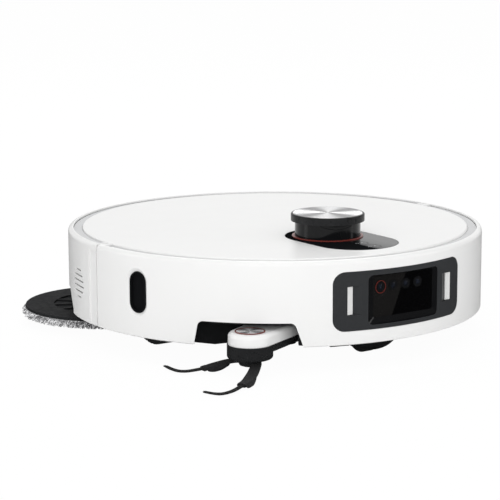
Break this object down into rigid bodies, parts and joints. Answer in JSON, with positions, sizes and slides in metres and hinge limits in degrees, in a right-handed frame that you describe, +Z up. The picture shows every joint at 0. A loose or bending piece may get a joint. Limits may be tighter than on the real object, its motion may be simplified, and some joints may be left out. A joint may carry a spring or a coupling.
{
  "type": "robot vacuum cleaner and mop",
  "caption": "Low round robot floor cleaner with a scanning turret, front camera window, swing-out side brush and spinning mop pads.",
  "frame": {"origin": "centre of the flat belly of the base plate, 12 mm above the floor the wheels stand on", "axes": "+Z up, -Y the front with the camera window, +X the robot's own left"},
  "size_m": [0.364, 0.354, 0.1074],
  "materials": {
    "white_plastic": "satin white",
    "groove_plastic": "light grey",
    "black_plastic": "fine-grained black",
    "gloss_black": "piano black",
    "bezel_metal": "satin gunmetal",
    "camera_glass": "dark tinted glass",
    "lens": "polished",
    "accent": "anodised orange-red",
    "light_diffuser": "pale diffuser",
    "disc_metal": "spun finish",
    "spring_steel": "drawn wire",
    "screw_steel": "plated",
    "contact_metal": "plated",
    "tyre_rubber": "moulded tread",
    "castor_plastic": "smooth",
    "hub_plastic": "grey",
    "brush_rubber": "soft",
    "bristle": "nylon",
    "microfibre": "fuzzy grey pile",
    "bin_plastic": "smoked translucent",
    "filter_paper": "pleated",
    "housing_plastic": "grey",
    "battery_wrap": "shrink wrap",
    "board": "solder mask",
    "motor_can": "drawn can"
  },
  "bodies": {
    "chassis": {"base_plate": "black_plastic", "case_screws": "screw_steel", "top_deck": "groove_plastic", "rear_shell": "white_plastic", "control_panel": "gloss_black", "accent_ring": "accent", "turret_window": "gloss_black", "lidar_motor": "motor_can", "lidar_belt": "brush_rubber", "fan_housing": "housing_plastic", "battery": "battery_wrap", "main_board": "board", "water_tank": "housing_plastic", "brush_motor": "motor_can", "left_mop_gearbox": "black_plastic", "suspension_springs": "spring_steel", "bumper_springs": "spring_steel", "cliff_sensors": "black_plastic", "charging_contacts": "contact_metal", "brush_guard": "black_plastic"},
    "bumper": {"bumper_shell": "white_plastic", "front_bezel": "bezel_metal", "front_glass": "camera_glass", "camera_lenses": "lens", "lens_ring": "accent", "light_windows": "light_diffuser", "wall_sensor_bezel": "black_plastic", "wall_sensor_window": "gloss_black"},
    "dust_bin": {"dust_bin": "bin_plastic", "bin_lid": "bin_plastic", "bin_filter": "filter_paper"},
    "top_cover": {"top_cover": "white_plastic"},
    "power_button": {"power_button": "gloss_black"},
    "home_button": {"home_button": "gloss_black"},
    "turret_cap": {"turret_cap": "gloss_black", "turret_disc": "disc_metal"},
    "lidar_rotor": {"lidar_rotor": "hub_plastic"},
    "lidar_pulley": {"lidar_pulley": "hub_plastic"},
    "fan_impeller": {"fan_impeller": "hub_plastic"},
    "left_drive": {"left_drive_arm": "black_plastic"},
    "right_drive": {"right_drive_arm": "black_plastic"},
    "left_wheel": {"left_wheel_hub": "hub_plastic", "left_tyre": "tyre_rubber"},
    "right_wheel": {"right_wheel_hub": "hub_plastic", "right_tyre": "tyre_rubber"},
    "castor_swivel": {"castor_fork": "black_plastic"},
    "castor_wheel": {"castor_wheel": "castor_plastic"},
    "main_brush": {"main_brush": "brush_rubber"},
    "side_arm": {"side_arm_housing": "black_plastic", "side_arm_cover": "white_plastic", "side_arm_badge": "disc_metal"},
    "side_brush": {"side_brush": "brush_rubber", "side_brush_bristles": "bristle"},
    "mop_arm": {"mop_arm": "black_plastic"},
    "right_mop_lifter": {"right_mop_lifter": "black_plastic"},
    "right_mop": {"right_mop_plate": "black_plastic", "right_mop_pad": "microfibre"},
    "left_mop_lifter": {"left_mop_lifter": "black_plastic"},
    "left_mop": {"left_mop_plate": "black_plastic", "left_mop_pad": "microfibre"}
  },
  "joints": [
    {"name": "bumper_press", "type": "slide", "parent": "chassis", "child": "bumper", "axis": [0, 1, 0], "range_m": [0, 0.0025], "stiffness_N_per_m": 300, "springref_m": -0.002, "deforming": ["bumper_springs"]},
    {"name": "bin_lift", "type": "slide", "parent": "chassis", "child": "dust_bin", "axis": [0, 0, 1], "range_m": [0, 0.09]},
    {"name": "cover_lift", "type": "slide", "parent": "dust_bin", "child": "top_cover", "axis": [0, 0, 1], "range_m": [0, 0.12]},
    {"name": "power_press", "type": "slide", "parent": "chassis", "child": "power_button", "axis": [0, 0, -1], "range_m": [0, 0.0005], "stiffness_N_per_m": 40, "springref_m": -0.0005},
    {"name": "home_press", "type": "slide", "parent": "chassis", "child": "home_button", "axis": [0, 0, -1], "range_m": [0, 0.0005], "stiffness_N_per_m": 40, "springref_m": -0.0005},
    {"name": "cap_press", "type": "slide", "parent": "chassis", "child": "turret_cap", "axis": [0, 1, 0], "range_m": [0, 0.0015], "stiffness_N_per_m": 100, "springref_m": -0.001},
    {"name": "lidar_spin", "type": "hinge", "parent": "chassis", "child": "lidar_rotor", "pos_m": [0, -0.0733, 0.065], "axis": [0, 0, 1], "continuous": true},
    {"name": "lidar_motor_spin", "type": "hinge", "parent": "chassis", "child": "lidar_pulley", "pos_m": [0.032, -0.0733, 0.057], "axis": [0, 0, 1], "continuous": true},
    {"name": "fan_spin", "type": "hinge", "parent": "chassis", "child": "fan_impeller", "pos_m": [-0.098, 0.076, 0.04], "axis": [0, 0, 1], "continuous": true},
    {"name": "left_suspension", "type": "hinge", "parent": "chassis", "child": "left_drive", "pos_m": [0.0955, -0.029, 0.027], "axis": [-1, 0, 0], "range_deg": [0, 14], "stiffness_Nm_per_rad": 0.5, "springref_deg": 14, "deforming": ["suspension_springs"]},
    {"name": "left_wheel_spin", "type": "hinge", "parent": "left_drive", "child": "left_wheel", "pos_m": [0.117, 0, 0.021], "axis": [1, 0, 0], "continuous": true},
    {"name": "right_suspension", "type": "hinge", "parent": "chassis", "child": "right_drive", "pos_m": [-0.0955, -0.029, 0.027], "axis": [-1, 0, 0], "range_deg": [0, 14], "stiffness_Nm_per_rad": 0.5, "springref_deg": 14, "deforming": ["suspension_springs"]},
    {"name": "right_wheel_spin", "type": "hinge", "parent": "right_drive", "child": "right_wheel", "pos_m": [-0.117, 0, 0.021], "axis": [1, 0, 0], "continuous": true},
    {"name": "castor_swivel", "type": "hinge", "parent": "chassis", "child": "castor_swivel", "pos_m": [0, -0.128, 0.01], "axis": [0, 0, 1], "continuous": true},
    {"name": "castor_spin", "type": "hinge", "parent": "castor_swivel", "child": "castor_wheel", "pos_m": [0, -0.122, 0.003], "axis": [1, 0, 0], "continuous": true},
    {"name": "main_brush_spin", "type": "hinge", "parent": "chassis", "child": "main_brush", "pos_m": [0, -0.053, 0.01], "axis": [1, 0, 0], "continuous": true},
    {"name": "side_arm_swing", "type": "hinge", "parent": "chassis", "child": "side_arm", "pos_m": [-0.0665, -0.1045, 0.01], "axis": [0, 0, 1], "range_deg": [-40, 0]},
    {"name": "side_brush_spin", "type": "hinge", "parent": "side_arm", "child": "side_brush", "pos_m": [-0.12, -0.1317, 0], "axis": [0, 0, 1], "continuous": true},
    {"name": "mop_swing", "type": "hinge", "parent": "chassis", "child": "mop_arm", "pos_m": [-0.09813, 0.05088, 0.02], "axis": [0, 0, 1], "range_deg": [-35.66, 0]},
    {"name": "right_mop_lift", "type": "slide", "parent": "mop_arm", "child": "right_mop_lifter", "axis": [0, 0, 1], "range_m": [-0.007, 0], "stiffness_N_per_m": 100, "springref_m": 0.03},
    {"name": "right_mop_spin", "type": "hinge", "parent": "right_mop_lifter", "child": "right_mop", "pos_m": [-0.1046, 0.103, 0], "axis": [0, 0, 1], "continuous": true},
    {"name": "left_mop_lift", "type": "slide", "parent": "chassis", "child": "left_mop_lifter", "axis": [0, 0, 1], "range_m": [-0.007, 0], "stiffness_N_per_m": 100, "springref_m": 0.03},
    {"name": "left_mop_spin", "type": "hinge", "parent": "left_mop_lifter", "child": "left_mop", "pos_m": [0.073, 0.097, 0], "axis": [0, 0, 1], "continuous": true}
  ],
  "couplings": [
    {"joint": "lidar_motor_spin", "follows": "lidar_spin", "ratio": 4},
    {"joint": "left_mop_lift", "follows": "right_mop_lift", "ratio": 1}
  ]
}
